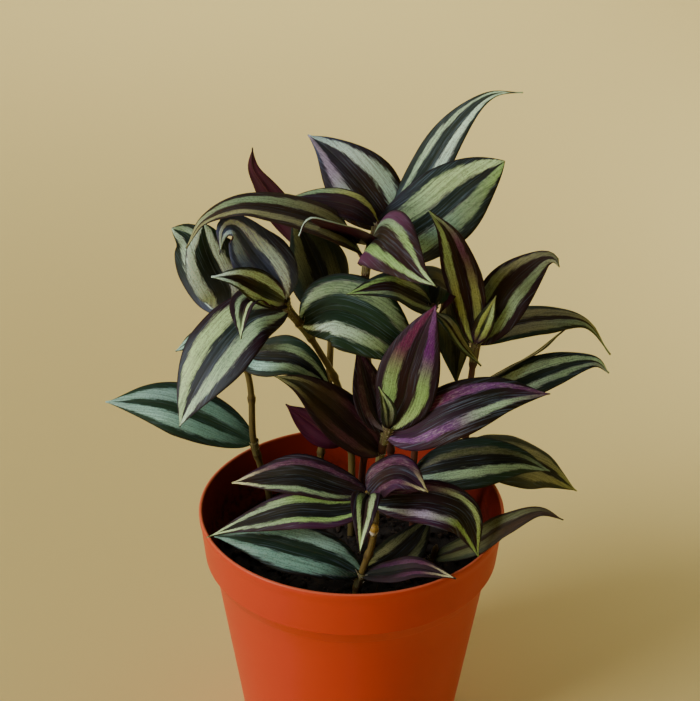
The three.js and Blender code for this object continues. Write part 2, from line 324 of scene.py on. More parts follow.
potBends = {
    # how the wall turns at a place: (radius, height) steps from the plain corner
    "base": [(-1.6, 0), (-0.5, 0.4), (0, 1.4)],
    "neck": [(-0.05, -0.6), (0.35, 0.3), (1.3, 1.5)],
    "bandFoot": [(-1.6, -1.3), (-0.7, -0.45), (0, 0.1), (0.15, 1.2)],
    "rim": [(-0.75, -6), (-0.45, -3.4), (-0.1, -2.5)],
    "rimInside": [(-0.3, -3)],
    "bandInside": [(0, 0.6), (-0.7, -0.6)],
    "neckInside": [(0, 0.6), (-0.1, -0.6)],
    "baseInside": [(0.3, 1), (-0.9, 0)],
}

plastic = {
    "colour": (188, 45, 30), "faded": (196, 61.5, 40), "worn": (204, 78, 50),
    # next line: a painted highlight for the lip, painted shade for the inner wall, dust and shade
    "lipHighlight": (230, 118, 86), "shaded": (92, 20, 14), "dust": (30, 15, 11),
    # noises: scale per metre, detail, roughness, and the scuffs' with its stretch first
    "cloud": (38, 3), "grain": (1900, 2), "splash": (320, 4, 0.65),
    "scuff": ((1, 1, 0.12), 4, 0.62, 900),
    # each effect: where it begins, where it is full, and how strong it is there
    "fading": (0.25, 0.8, 0.35), "scuffed": (0.66, 0.78), "edges": (0.53, 0.62, 0.45),
    "splashed": (0.42, 0.68), "dustAndShadeTop": (0.085, 0.102),
    "lipHighlightDepth": 0.7 * mm, "bump": 0.04 * mm, "specular": 0.2,
}


def potPlastic():
    finish = Finish("potPlastic")
    place = finish.objectPlace()
    height = finish.split(place, "Z")
    innerShade = finish.attribute("innerShade", "Fac")
    cloud = finish.noise(place, *plastic["cloud"])
    grain = finish.noise(place, *plastic["grain"])
    scuff = finish.stretched(place, *plastic["scuff"]).rise(*plastic["scuffed"])
    edge = finish.node("ShaderNodeNewGeometry", {}, {}, "Pointiness").rise(*plastic["edges"])
    colour = finish.mix(cloud.rise(*plastic["fading"]), plastic["colour"], plastic["faded"])
    worn = (scuff * 0.3 + edge).maths("MINIMUM", 1)
    colour = finish.mix(worn, colour, plastic["worn"])
    # painted shade: the inner wall is darkened towards the shaded colour, less at the back
    colour = finish.mix(innerShade * 0.85, colour, plastic["shaded"])
    # dust and painted shade: the inner wall darkens further towards the soil, in blotches
    splash = finish.noise(place, *plastic["splash"]).rise(*plastic["splashed"])
    dust = innerShade * (1 - height.rise(*plastic["dustAndShadeTop"])) * (splash * 0.6 + 0.4)
    colour = finish.mix(dust * 0.9, colour, plastic["dust"])
    # painted highlight: a pale strip along the top of the lip, which is also glossier
    lipHighlight = height.rise(pot["height"] * mm - plastic["lipHighlightDepth"], pot["height"] * mm)
    colour = finish.mix(lipHighlight * 0.7, colour, plastic["lipHighlight"])
    return finish.done(Base_Color=colour, Specular_IOR_Level=plastic["specular"],
                       Roughness=cloud * 0.12 + scuff * 0.14 + dust * 0.25 - lipHighlight * 0.1 + 0.36,
                       Normal=finish.bump(grain + scuff * 0.6, plastic["bump"], 0.6))


def potProfile():  # from the drilled disc out, up, over the lip and back
    top = pot["height"]
    bandFoot = top - pot["band"]
    neck = bandFoot - pot["step"]
    parts = pot["wallParts"]
    half = pot["lip"] / 2
    turns = [pi * step / pot["lipParts"] for step in range(pot["lipParts"] + 1)]

    def bent(corner, height, inset, steps):
        return [(pot[corner] - inset + out, height + up) for out, up in potBends[steps]]

    return [
        (pot["plate"], 0), *bent("base", 0, 0, "base"),
        *[(pot["base"] + (pot["neck"] - pot["base"]) * part / parts, neck * part / parts)
          for part in range(1, parts)],
        *bent("neck", neck, 0, "neck"), *bent("bandFoot", bandFoot, 0, "bandFoot"),
        *bent("rim", top, 0, "rim"),
        *[(pot["rim"] - half + half * cos(turn), top - half * (1 - sin(turn))) for turn in turns],
        *bent("rim", top, pot["wall"], "rimInside"),
        *bent("bandFoot", bandFoot, pot["wall"], "bandInside"),
        *bent("neck", neck, pot["wall"], "neckInside"),
        *bent("base", pot["floor"], pot["wall"], "baseInside"), (pot["plate"], pot["floor"])]


def drillFloor(bm):
    bottom = [edge for edge in bm.edges if edge.is_boundary and edge.verts[0].co.z < mm]
    for hole in range(pot["holes"]):
        angle = 2 * pi * hole / pot["holes"]
        centre = Vector((cos(angle), sin(angle), 0)) * pot["holeRing"] * mm
        made = bmesh.ops.create_circle(bm, cap_ends=False, radius=pot["hole"] * mm,
                                       segments=pot["holeSides"],
                                       matrix=Matrix.Translation(centre))["verts"]
        bottom += dict.fromkeys(edge for vert in made for edge in vert.link_edges)
    plate = bmesh.ops.triangle_fill(bm, use_beauty=True, use_dissolve=False, edges=bottom)["geom"]
    plate = [face for face in plate if isinstance(face, bmesh.types.BMFace)]
    raised = bmesh.ops.extrude_face_region(bm, geom=plate, use_keep_orig=True)["geom"]
    lifted = [vert for vert in raised if isinstance(vert, bmesh.types.BMVert)]
    bmesh.ops.translate(bm, verts=lifted, vec=(0, 0, pot["floor"] * mm))
    bmesh.ops.remove_doubles(bm, verts=bm.verts, dist=0.01 * mm)
    hidden = []  # the wall that the plate's rim left inside the floor
    for face in bm.faces:
        middle = face.calc_center_median() / mm
        if 0.2 < middle.z < pot["floor"] - 0.2 and abs(middle.to_2d().length - pot["plate"]) < 0.2:
            hidden.append(face)
    bmesh.ops.delete(bm, geom=hidden, context="FACES_ONLY")


def makePot():
    bm = bmesh.new()
    spun(bm, potProfile(), pot["sides"])
    drillFloor(bm)
    bmesh.ops.recalc_face_normals(bm, faces=bm.faces)
    innerShade = bm.verts.layers.float.new("innerShade")
    bm.normal_update()
    for vert in bm.verts:  # painted shade on the inner wall: 1 there, less at the back, where light gets in
        reach = vert.co.to_2d().length
        inward = -vert.normal.to_2d().dot(vert.co.to_2d()) / reach
        vert[innerShade] = smooth(0, 0.6, inward) * (1 - 0.6 * smooth(0.5, 0.95, vert.co.y / reach))
    smoothed(bm)
    for edge in bm.edges:
        edge.smooth = edge.calc_face_angle(0) < radians(pot["crisp"])
    partPiece("potShell", bm, [potPlastic()], ["pot"])


makePot()
print("pot: shell spun, floor drilled")


# Soil
soil = {
    "height": 83, "gap": 0.4, "foot": 2.4, "footInset": 0.5, "sides": 150, "rings": 42,
    "lump": 1.1, "clod": 5, "rough": 1.5,  # in mm: the solid's lumps, the clods' width and height
    "crumbs": 620, "crumbSizes": (0.5, 0.7, 0.9, 1.2, 1.8), "crumbTones": (0, 0, 0.2, 0.5, 1),
    "fibres": 60, "fibreLengths": (3, 8), "fibreRadii": (0.32, 0.18),
    "dark": (12, 9, 8), "brown": (34, 25, 19), "bark": (62, 45, 31),
    "lumps": (260, 5, 0.65), "grit": (1500, 3, 0.6), "bump": 0.6 * mm,
}


def soilHeightAt(x, y):  # the same gentle lumps as the solid's
    broad = sin(0.13 * x + 0.7) * cos(0.11 * y - 0.4)
    return soil["height"] + soil["lump"] * (broad + 0.45 * sin(0.31 * x - 0.22 * y))


def soilEarth():
    finish = Finish("pottingSoil")
    place = finish.objectPlace()
    lump = finish.noise(place, *soil["lumps"])
    grit = finish.noise(place, *soil["grit"])
    colour = finish.mix(lump.rise(0.35, 0.72), soil["dark"], soil["brown"])
    bark = finish.attribute("tone", "Fac") * grit.rise(0.3, 0.7)
    colour = finish.mix(bark, colour, soil["bark"])
    return finish.done(Base_Color=colour, Roughness=lump * 0.2 + 0.78,
                       Normal=finish.bump(lump + grit * 0.5, soil["bump"], 0.9))


def strewn(reach):  # a chance place on the soil
    reach *= sqrt(chance.random())
    angle = chance.uniform(0, 2 * pi)
    return reach * cos(angle), reach * sin(angle)


def onSoil(x, y, lift):
    return Matrix.Translation(Vector((x, y, soilHeightAt(x, y) + lift)) * mm)


def makeSoil():
    neck = pot["height"] - pot["band"] - pot["step"]
    height = soil["height"]
    top = pot["neck"] - pot["wall"] - soil["gap"]
    foot = pot["base"] - pot["wall"] - soil["gap"] - soil["footInset"]
    profile = [(0, soil["foot"]), (foot, soil["foot"]), (top, neck - 1.5), (top + 0.3, height - 1)]
    profile += [(top * (1 - ring / soil["rings"]), height) for ring in range(soil["rings"] + 1)]
    bm = bmesh.new()
    spun(bm, profile, soil["sides"])
    bmesh.ops.recalc_face_normals(bm, faces=bm.faces)
    for vert in bm.verts:
        if vert.co.z > (height - 0.1) * mm:
            x, y = vert.co.to_2d() / mm
            rough = noise.fractal(Vector((x, y, 0)) / soil["clod"], 0.7, 2.2, 4) * soil["rough"]
            calm = 0.3 + 0.7 * smooth(0, 5, top - sqrt(x * x + y * y))  # smoother along the wall
            vert.co.z = (soilHeightAt(x, y) + rough * calm - 0.2) * mm
    tone = bm.verts.layers.float.new("tone")
    for crumb in range(soil["crumbs"]):
        x, y = strewn(top - 1.5)
        size = chance.choice(soil["crumbSizes"])
        turn = Matrix.Rotation(chance.uniform(0, 2 * pi), 4, (chance.random(), chance.random(), 1))
        shape = Matrix.Diagonal((chance.uniform(0.6, 1.5), chance.uniform(0.6, 1.1), 0.7, 1))
        made = bmesh.ops.create_icosphere(
            bm, subdivisions=1, radius=size * mm, matrix=onSoil(x, y, 0.25 * size) @ turn @ shape)
        shade = chance.choice(soil["crumbTones"])
        for vert in made["verts"]:
            vert.co += noise.noise_vector(vert.co / (1.3 * mm)) * size * 0.3 * mm
            vert[tone] = shade
    for fibre in range(soil["fibres"]):  # bits of root and bark lying flat
        x, y = strewn(top - 6)
        length = chance.uniform(*soil["fibreLengths"])
        flat = Matrix.Rotation(chance.uniform(0, pi), 4, "Z") @ Matrix.Rotation(pi / 2, 4, "X")
        thick, thin = soil["fibreRadii"]
        made = bmesh.ops.create_cone(
            bm, cap_ends=True, segments=5, radius1=thick * mm, radius2=thin * mm,
            depth=length * mm, matrix=onSoil(x, y, 0.8) @ flat)
        for vert in made["verts"]:
            vert[tone] = 1
    smoothed(bm)
    partPiece("soilTop", bm, [soilEarth()], ["soil"])


makeSoil()
print("soil: surface, crumbs and fibres laid")


# Colours of the blades' upper side
colours = {
    "frost": (212, 246, 246), "ice": (204, 226, 254), "sky": (174, 214, 234),
    "iceBlue": (160, 192, 234), "silver": (182, 218, 204), "mist": (150, 198, 192),
    "mint": (154, 190, 158), "teal": (102, 144, 136), "haze": (132, 172, 172),
    "pale": (174, 208, 154), "sage": (126, 156, 124), "khaki": (136, 142, 104),
    "lime": (176, 200, 120), "leaf": (132, 172, 106), "cream": (202, 206, 162),
    "grey": (130, 146, 146), "lichen": (142, 152, 90), "olive": (86, 94, 66),
    "moss": (42, 51, 35), "forest": (26, 50, 36), "bottle": (12, 34, 24), "pine": (28, 42, 40),
    "steel": (70, 82, 120), "slate": (50, 57, 70), "dusk": (44, 41, 54),
    "lavender": (160, 152, 190), "lilac": (108, 68, 128), "violet": (94, 32, 116),
    "magenta": (92, 28, 74), "mauve": (84, 48, 78), "purple": (54, 22, 56),
    "grape": (36, 20, 38), "plum": (30, 12, 26), "maroon": (34, 14, 17),
    "brown": (40, 30, 22), "umber": (54, 42, 34), "night": (18, 16, 12), "ink": (9, 13, 11),
}


# A tint lists the left and right stripe's colours, then the midrib's band and the margin's, each
# at four places from foot to tip, or one colour for them all. Left and right are seen from the
# foot, upper side up. Bands are the left stripe's reach from the midrib, 0, to the margin, 1, then
# the right one's. Glitter is how strongly bright cells, painted glints, fleck the stripes; it also
# sets how strong the painted blue sheen on the dark bands and the lilac fringe are.
def tinted(left, right, centre, margin, bands, glitter):
    made = {"left": left, "right": right, "centre": centre, "margin": margin}
    for part, names in made.items():
        made[part] = names.split() if " " in names else [names] * 4
    return made | {"bands": bands, "glitter": glitter}


tints = {
    "shade": tinted("forest teal mist haze", "forest teal haze mist", "forest",
        "forest bottle forest forest", (0.24, 0.72, 0.18, 0.66), 0.2),
    "shadeSage": tinted("forest moss sage mint", "teal mist sage mint", "ink",
        "pine pine forest forest", (0.24, 0.58, 0.34, 0.76), 0.2),
    "frosted": tinted("frost frost silver silver", "lavender frost silver sage",
        "steel slate pine forest", "steel slate pine moss", (0.28, 0.64, 0.3, 0.62), 0.6),
    "icy": tinted("ice frost frost frost", "frost ice frost silver", "steel slate pine forest",
        "steel slate pine forest", (0.56, 0.97, 0.1, 0.44), 0.7),
    "icyBlue": tinted("slate steel iceBlue silver", "ice frost ice frost", "pine steel steel pine",
        "steel dusk steel dusk", (0.3, 0.72, 0.2, 0.56), 0.8),
    "darkWine": tinted("plum grape mauve olive", "plum mauve grape olive", "plum",
        "plum grape grape plum", (0.35, 0.6, 0.35, 0.6), 0.1),
    "wideGreen": tinted("mint sage sage khaki", "frost silver sage khaki",
        "bottle forest forest bottle", "bottle forest forest forest", (0.42, 0.8, 0.34, 0.66),
        0.5),
    "blueSilver": tinted("mint mint mint silver", "sage pale pale mint", "brown pine slate dusk",
        "dusk plum slate dusk", (0.22, 0.64, 0.24, 0.76), 0.5),
    "paleEdge": tinted("sage pale pale pale", "sage pale mint pale", "plum maroon maroon sage",
        "plum maroon plum grape", (0.36, 0.64, 0.34, 0.62), 0.2),
    "lime": tinted("mauve pale silver silver", "silver silver silver frost",
        "olive moss brown night", "mauve night moss moss", (0.46, 0.82, 0.34, 0.76), 0.5),
    "bud": tinted("mauve lime lime lichen", "mauve lime pale lichen", "purple moss olive olive",
        "purple brown moss olive", (0.18, 0.62, 0.24, 0.76), 0.2),
    "smoky": tinted("plum mauve umber khaki", "mauve mauve umber khaki", "plum plum brown moss",
        "purple plum plum brown", (0.42, 0.72, 0.4, 0.66), 0),
    "lilac": tinted("magenta magenta lilac mauve", "lilac violet mint mauve",
        "purple grape night purple", "purple maroon night night", (0.4, 0.7, 0.3, 0.62), 0.6),
    "purple": tinted("lavender mauve purple purple", "mauve purple purple violet",
        "plum grape grape purple", "plum", (0.3, 0.7, 0.3, 0.7), 0.4),
    "spring": tinted("leaf leaf magenta magenta", "pale leaf violet lilac",
        "night maroon plum purple", "plum plum grape purple", (0.32, 0.74, 0.34, 0.72), 0.2),
    "small": tinted("slate grey silver pale", "dusk grey mint pale", "plum pine pine moss",
        "plum pine moss moss", (0.2, 0.6, 0.25, 0.7), 0.3),
    "dimSage": tinted("khaki", "khaki khaki sage khaki", "umber brown brown umber",
        "umber umber brown brown", (0.44, 0.8, 0.25, 0.68), 0.2),
    "broadSilver": tinted("teal mint pale pale", "haze mist sage leaf", "pine pine pine night",
        "pine slate pine night", (0.2, 0.68, 0.24, 0.68), 0.6),
    "leanStripe": tinted("mint sage leaf pale", "pale leaf leaf pale", "moss brown maroon maroon",
        "mauve mauve maroon maroon", (0.38, 0.62, 0.26, 0.6), 0.4),
    "curled": tinted("mauve sage silver silver", "teal teal sage silver", "plum",
        "plum plum silver frost", (0.4, 0.9, 0.4, 0.9), 0.3),
    "wineLime": tinted("plum maroon maroon maroon", "lichen lichen sage olive",
        "plum maroon plum plum", "plum", (0.5, 0.8, 0.56, 0.92), 0),
    # painted shade: this low front leaf is tinted near black for the shade it lies in
    "shadowedCream": tinted("ink purple mauve cream", "ink plum mauve cream", "ink ink plum plum",
        "ink plum plum plum", (0.42, 0.7, 0.36, 0.66), 0),
    "teal": tinted("bottle teal teal teal", "teal haze teal forest", "bottle bottle bottle forest",
        "bottle ink bottle bottle", (0.34, 0.84, 0.26, 0.74), 0.3),
    "thinOlive": tinted("lichen khaki olive olive", "lichen khaki olive moss",
        "ink night night ink", "ink moss ink ink", (0.4, 0.76, 0.36, 0.72), 0.1),
    "thinSage": tinted("sage sage sage leaf", "olive sage leaf leaf", "ink night maroon brown",
        "ink pine pine brown", (0.4, 0.72, 0.34, 0.7), 0.2),
    "orchid": tinted("plum lilac pale leaf", "mint lavender leaf leaf", "ink plum night maroon",
        "plum purple plum plum", (0.48, 0.74, 0.42, 0.7), 0.6),
    # painted shade: this low front leaf's middle is tinted near black for the shade it lies in
    "shadowedHeart": tinted("leaf leaf sage pale", "leaf leaf sage pale", "ink ink night night",
        "plum purple plum plum", (0.4, 0.66, 0.4, 0.7), 0.2),
    "foldedPale": tinted("leaf pale pale pale", "mauve leaf pale pale", "maroon brown maroon pale",
        "plum", (0.3, 0.66, 0.28, 0.6), 0.3),
    "violetPale": tinted("plum mauve mauve cream", "plum mauve mauve cream",
        "plum maroon plum purple", "plum plum purple plum", (0.46, 0.8, 0.36, 0.62), 0.4),
    "violetOlive": tinted("olive sage sage cream", "plum mauve mauve cream",
        "maroon night night maroon", "plum plum plum purple", (0.62, 0.82, 0.48, 0.72), 0.3),
    "duoSilver": tinted("mint silver mint mint", "mint silver sage grey", "pine pine pine night",
        "slate pine pine night", (0.2, 0.62, 0.28, 0.64), 0.4),
    "wineOlive": tinted("lime lichen mint sage", "lime lichen lilac mint",
        "brown maroon maroon dusk", "brown maroon grape grape", (0.34, 0.74, 0.26, 0.7), 0.2),
    "widePlum": tinted("olive sage khaki olive", "olive mint sage khaki",
        "maroon brown maroon brown", "maroon plum plum brown", (0.44, 0.82, 0.24, 0.64), 0.2),
    "dullOlive": tinted("olive olive khaki lichen", "olive olive khaki lichen",
        "night moss night moss", "ink moss moss moss", (0.26, 0.7, 0.26, 0.66), 0.1),
    "paleSilver": tinted("mint silver lavender lavender", "mint silver frost sky",
        "maroon brown dusk slate", "brown brown dusk steel", (0.34, 0.7, 0.34, 0.78), 0.5),
    "slender": tinted("sage mint mint mint", "silver silver silver mint", "pine pine pine moss",
        "pine pine pine moss", (0.36, 0.64, 0.28, 0.72), 0.5),
    "tawny": tinted("olive khaki khaki lichen", "olive khaki sage sage", "moss brown brown moss",
        "forest forest moss olive", (0.2, 0.72, 0.16, 0.7), 0.2),
    "oliveSilver": tinted("moss olive olive sage", "teal mint mint sage", "ink ink ink moss",
        "pine pine forest moss", (0.3, 0.58, 0.2, 0.56), 0.3),
    "dim": tinted("forest moss olive olive", "moss olive moss pine", "ink",
        "forest pine pine pine", (0.26, 0.7, 0.26, 0.66), 0),
    "fawn": tinted("moss olive olive umber", "moss olive umber umber", "night brown brown brown",
        "moss moss brown brown", (0.18, 0.74, 0.2, 0.72), 0),
}


# Each shoot repeats the solid's: its stem's colour, the heights of rings without a leaf, the
# stem's route from the soil up, and its leaves. A leaf grows from its stem at a height, runs
# through its points to its tip, and turns its upper side to its face direction. Fold is each
# half's rise from the midrib in degrees, widest is where along its length the leaf is broadest,
# and point is how sharply it narrows from there.
def grown(skin, bareRings, stem, leaves, stub=()):
    return {"skin": skin, "bareRings": bareRings, "stem": stem, "leaves": leaves, "stub": stub}


def leafAt(height, points, face, width, fold, tint, widest=0.4, point=1.2):
    return {"at": height, "points": points, "face": face, "width": width, "fold": fold,
            "tint": tint, "widest": widest, "point": point}


shoots = {
    "shoot_back_left": grown("tan", [98, 141], [(-34, 29), (-35, 28, 95), (-38, 26, 108),
        (-40, 22, 122), (-40, 19, 141), (-41, 17, 153), (-44, 15, 164), (-47, 13, 176),
        (-48, 12, 183)], [
        leafAt(119, [(-59, 24, 129), (-77, 25, 135), (-99, 26, 135)], (1, -6, 7), 23, 12, "shade",
            widest=0.5),
        leafAt(164, [(-36, 7, 166), (-23, -4, 171), (-14, -9, 168), (-8, -12, 162)], (1, -6, 7),
            19, 22, "shadeSage", widest=0.45),
        leafAt(165, [(-54, 24, 164), (-63, 30, 161), (-71, 34, 154)], (0, -4, 9), 17, 22, "shade"),
        leafAt(181, [(-53, 14, 190), (-58, 16, 202), (-62, 17, 210), (-68, 17, 214)], (-2, -8, 4),
            21, 12, "frosted", widest=0.5, point=0.8),
        leafAt(182, [(-47, 8, 193), (-51, 6, 203), (-54, 5, 212), (-55, 5, 221)], (3, -8, 4), 24,
            15, "icy", widest=0.54, point=0.8),
    ]),
    "shoot_left": grown("tan", [108, 160], [(0, 10), (0, 10, 105), (-1, 8, 132), (-6, 4, 156),
        (-13, -1, 173), (-19, -7, 186), (-24, -12, 195), (-25, -14, 200)], [
        leafAt(132, [(-7, 6, 131), (-16, 8, 137), (-26, 8, 145)], (-1, 7, 4), 18, 10, "darkWine"),
        leafAt(187, [(-9, -10, 194), (1, -12, 193), (12, -13, 186), (25, -9, 172)], (0, -7, 6), 29,
            16, "wideGreen"),
        leafAt(195, [(-37, -20, 195), (-48, -30, 186), (-56, -37, 174), (-61, -40, 162)],
            (-3, -7, 6), 26, 18, "blueSilver", widest=0.5),
        leafAt(197, [(-33, -20, 201), (-38, -27, 203), (-39, -36, 195)], (-4, -6, 7), 15, 42,
            "paleEdge"),
        leafAt(199, [(-32, -22, 207), (-40, -28, 214), (-49, -31, 216)], (2, -7, 6), 13, 28,
            "lime", widest=0.45),
        leafAt(199, [(-29, -13, 208), (-36, -12, 217), (-42, -12, 226), (-46, -15, 226),
            (-47, -19, 219)], (4, -6, 6), 25, 20, "icyBlue", widest=0.34, point=1.7),
    ]),
    "shoot_centre": grown("red", [112], [(8, -8), (8, -10, 105), (10, -18, 135), (12, -22, 149),
        (13, -23, 154)], [
        leafAt(140, [(1, -24, 152), (-11, -28, 166), (-19, -30, 174), (-28, -31, 178)], (1, -7, 7),
            19, 22, "smoky", widest=0.45),
        leafAt(149, [(22, -24, 152), (35, -24, 160), (53, -20, 165), (72, -16, 164)], (0, -7, 7),
            21, 18, "lilac", widest=0.45),
        leafAt(151, [(8, -20, 157), (5, -17, 166), (1, -12, 181)], (6, -5, 3), 18, 20, "purple"),
        leafAt(152, [(18, -22, 164), (20, -20, 174), (24, -17, 187), (29, -15, 199)], (0, -9, 3),
            23, 16, "spring", widest=0.42, point=1.05),
        leafAt(153, [(12, -26, 163), (9, -27, 172)], (3, -8, 3), 7, 40, "small"),
    ]),
    "shoot_tall": grown("red", [120, 150, 182], [(3, 16), (4, 14, 110), (7, 8, 147), (4, 5, 179),
        (4, 0, 205), (7, 1, 219), (8, 1, 224)], [
        leafAt(207, [(-4, -8, 222), (-19, -12, 231), (-38, -14, 235), (-52, -15, 230),
            (-59, -16, 220)], (0, -3, 9), 19, 24, "dimSage", widest=0.38, point=1.3),
        leafAt(208, [(16, 4, 216), (28, 12, 222), (42, 17, 233), (54, 19, 241)], (1, -8, 5), 29, 8,
            "broadSilver", widest=0.55, point=0.85),
        leafAt(212, [(8, -14, 224), (14, -28, 225), (21, -40, 222), (27, -46, 220)], (-6, -4, 8),
            24, 18, "leanStripe", widest=0.38),
        leafAt(215, [(-2, -14, 226), (-11, -24, 234), (-16, -27, 236), (-19, -30, 231)], (1, 5, 8),
            18, 10, "curled", point=1.5),
        leafAt(223, [(0, 1, 229), (-11, 5, 230), (-27, 8, 229)], (0, -5, 8), 13, 20, "wineLime",
            widest=0.45),
    ]),
    "shoot_front": grown("ochre", [105], [(2, -31), (4, -34, 96), (8, -35, 112), (8, -34, 126),
        (5, -33, 132)], [
        leafAt(95, [(14, -40, 101), (25, -46, 107), (38, -52, 107)], (4, -5, 7), 10, 22,
            "shadowedCream", widest=0.5),
        leafAt(96, [(-8, -34, 103), (-21, -32, 106), (-35, -28, 107), (-52, -24, 105)], (1, -6, 7),
            21, 14, "teal", widest=0.5),
        leafAt(96, [(13, -28, 96), (22, -20, 99), (31, -10, 106)], (-1, -6, 7), 16, 18,
            "thinOlive", widest=0.5),
        leafAt(127, [(18, -36, 129), (30, -38, 130), (41, -38, 124), (47, -38, 107)], (1, -6, 7),
            18, 20, "orchid", widest=0.5),
        leafAt(127, [(-6, -36, 125), (-21, -36, 125), (-39, -34, 118), (-54, -32, 110)],
            (1, -6, 7), 15, 22, "shadowedHeart", widest=0.4, point=1.5),
        leafAt(130, [(5, -44, 134), (4, -53, 131), (3, -58, 122)], (-1, -7, 7), 12, 44,
            "foldedPale", widest=0.35),
        leafAt(131, [(11, -36, 139), (18, -41, 144), (27, -46, 140)], (0, -5, 8), 17, 18,
            "violetPale", widest=0.48),
        leafAt(131, [(-6, -34, 135), (-19, -34, 139), (-32, -33, 137), (-44, -32, 134)],
            (0, -6, 7), 16, 24, "violetOlive", widest=0.48),
    ], stub=[(8, -35, 114.5), (8.2, -37.5, 118), (8.4, -38.5, 120.5)]),
    "shoot_right": grown("red", [98, 132], [(40, 18), (41, 17, 102), (45, 12, 132), (45, 9, 154),
        (46, 8, 170), (46, 7, 174)], [
        leafAt(118, [(60, 24, 112), (78, 34, 102), (95, 38, 88)], (1, -5, 8), 25, 10, "dullOlive",
            widest=0.45),
        leafAt(147, [(59, 14, 150), (77, 18, 156), (93, 20, 159), (100, 20, 154)], (-1, -6, 7), 16,
            18, "duoSilver", widest=0.45),
        leafAt(151, [(57, 18, 154), (72, 28, 158), (85, 36, 166)], (-6, 3, 7), 14, 15,
            "dullOlive"),
        leafAt(171, [(43, 7, 189), (39, 3, 205), (33, -4, 222), (25, -12, 234)], (-3, -9, 3), 15,
            28, "wineOlive", widest=0.45),
        leafAt(172, [(58, 18, 174), (74, 28, 173), (91, 34, 169), (103, 36, 154)], (0, -4, 9), 16,
            15, "tawny", widest=0.4, point=2),
        leafAt(172, [(52, 8, 184), (58, 9, 195), (68, 10, 205), (73, 9, 207), (75, 6, 205)],
            (-3, -8, 5), 20, 14, "widePlum", widest=0.45),
        leafAt(173, [(49, 4, 184), (52, 2, 195)], (-2, -9, 3), 8, 35, "bud"),
    ]),
    "shoot_back_tall": grown("red", [115, 160, 190], [(16, 26), (15, 24, 161), (13, 22, 196),
        (14, 20, 215), (15, 20, 219)], [
        leafAt(214, [(6, 24, 224), (-3, 27, 234), (-11, 30, 241), (-18, 31, 246)], (2, -8, 5), 28,
            14, "paleSilver", widest=0.38),
        leafAt(217, [(26, 29, 233), (34, 32, 246), (42, 33, 256), (50, 32, 262), (60, 28, 264)],
            (-4, -8, 3), 15, 14, "slender", point=1.9),
    ]),
    "shoot_right_middle": grown("red", [140, 165], [(25, 8), (24, 6, 117), (26, 4, 150),
        (28, 2, 183), (29, 1, 192)], [
        leafAt(114, [(34, 4, 119), (50, 3, 123), (65, 2, 124), (77, 0, 121)], (0, -7, 7), 21, 12,
            "oliveSilver", widest=0.45),
        leafAt(188, [(34, -4, 186), (40, -7, 178), (47, -8, 171)], (5, -3, 7), 9, 30, "tawny"),
        leafAt(190, [(20, -6, 198), (11, -12, 204), (-3, -18, 204)], (1, -4, 8), 18, 24,
            "thinSage", widest=0.3),
        leafAt(191, [(30, 9, 196), (35, 14, 187), (39, 15, 170), (40, 14, 151)], (2, -4, 8), 24,
            10, "dim"),
    ]),
    "shoot_back": grown("tan", [110, 150], [(-14, 32), (-13, 31, 108), (-10, 26, 137),
        (-9, 22, 179), (-12, 20, 196), (-14, 19, 202)], [
        leafAt(179, [(-11, 16, 190), (-15, 13, 204), (-23, 11, 223)], (2, -8, 4), 24, 10, "dim",
            widest=0.45),
        leafAt(201, [(-26, 18, 219), (-33, 14, 232), (-37, 12, 240), (-37, 10, 248)], (1, 8, 3),
            13, 15, "darkWine"),
    ]),
    "shoot_front_right": grown("tan", [], [(30, -16), (32, -17, 92), (33, -16, 97)], [
        leafAt(91, [(46, -27, 105), (57, -32, 117), (69, -32, 123), (78, -34, 121)], (-3, -4, 8),
            12, 22, "fawn", widest=0.45),
    ]),
}


# Leaf blades
blade = {
    "columns": 18, "rowStep": 1.5, "thickness": 0.7, "marginShare": 0.35, "cup": 26,
    "footHalf": 0.8, "tipHalf": 0.2, "wave": 0.5, "waveAcross": 7, "waveDown": 11,
    "lift": 1.35,  # how much lighter a tint is painted than its screen colour
    "veins": 26, "bump": 0.12 * mm,
}


def outline(t, widest, point):  # a leaf's width along its length, as a share of the greatest
    if t < widest:
        return (1 - (1 - t / widest) ** 2) ** 0.6
    return (1 - ((t - widest) / (1 - widest)) ** 1.7) ** point


def alongStops(stops, t):  # a colour from named ones, spread from foot to tip
    placed = min(t, 0.9999) * (len(stops) - 1)
    first = int(placed)
    pair = stops[first:first + 2]
    one, two = (Vector(screen(colours[name])[:3]) * blade["lift"] for name in pair)
    return (*one.lerp(two, smooth(0, 1, placed - first)), 1)


